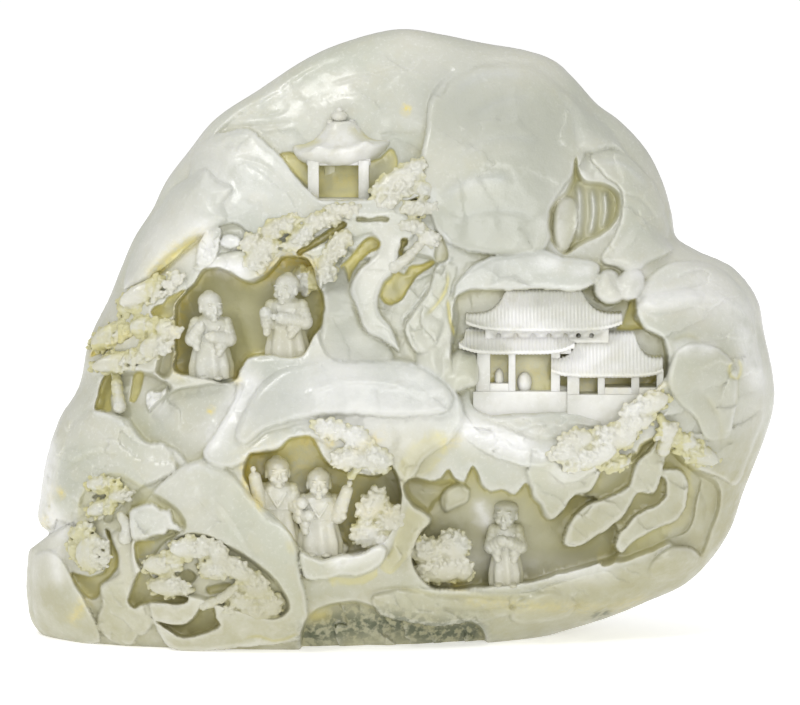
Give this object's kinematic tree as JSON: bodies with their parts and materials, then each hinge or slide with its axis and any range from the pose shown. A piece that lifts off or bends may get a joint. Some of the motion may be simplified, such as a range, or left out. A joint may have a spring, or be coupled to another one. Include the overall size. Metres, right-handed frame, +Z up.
{
  "type": "jade boulder carving",
  "caption": "Upright jade boulder carved in relief with hills, grottoes, pines, small pavilions and robed figures, standing on its flat sawn foot.",
  "frame": {"origin": "on the ground under the middle of the boulder's bounding box", "axes": "+X to the right as the carved front is seen, +Y towards the back, +Z up"},
  "size_m": [0.2484, 0.0886, 0.203],
  "materials": {
    "nephrite": "polished, slightly translucent, pale celadon with olive-yellow in the recesses"
  },
  "bodies": {
    "root": {"jade_boulder": "nephrite"}
  },
  "joints": []
}
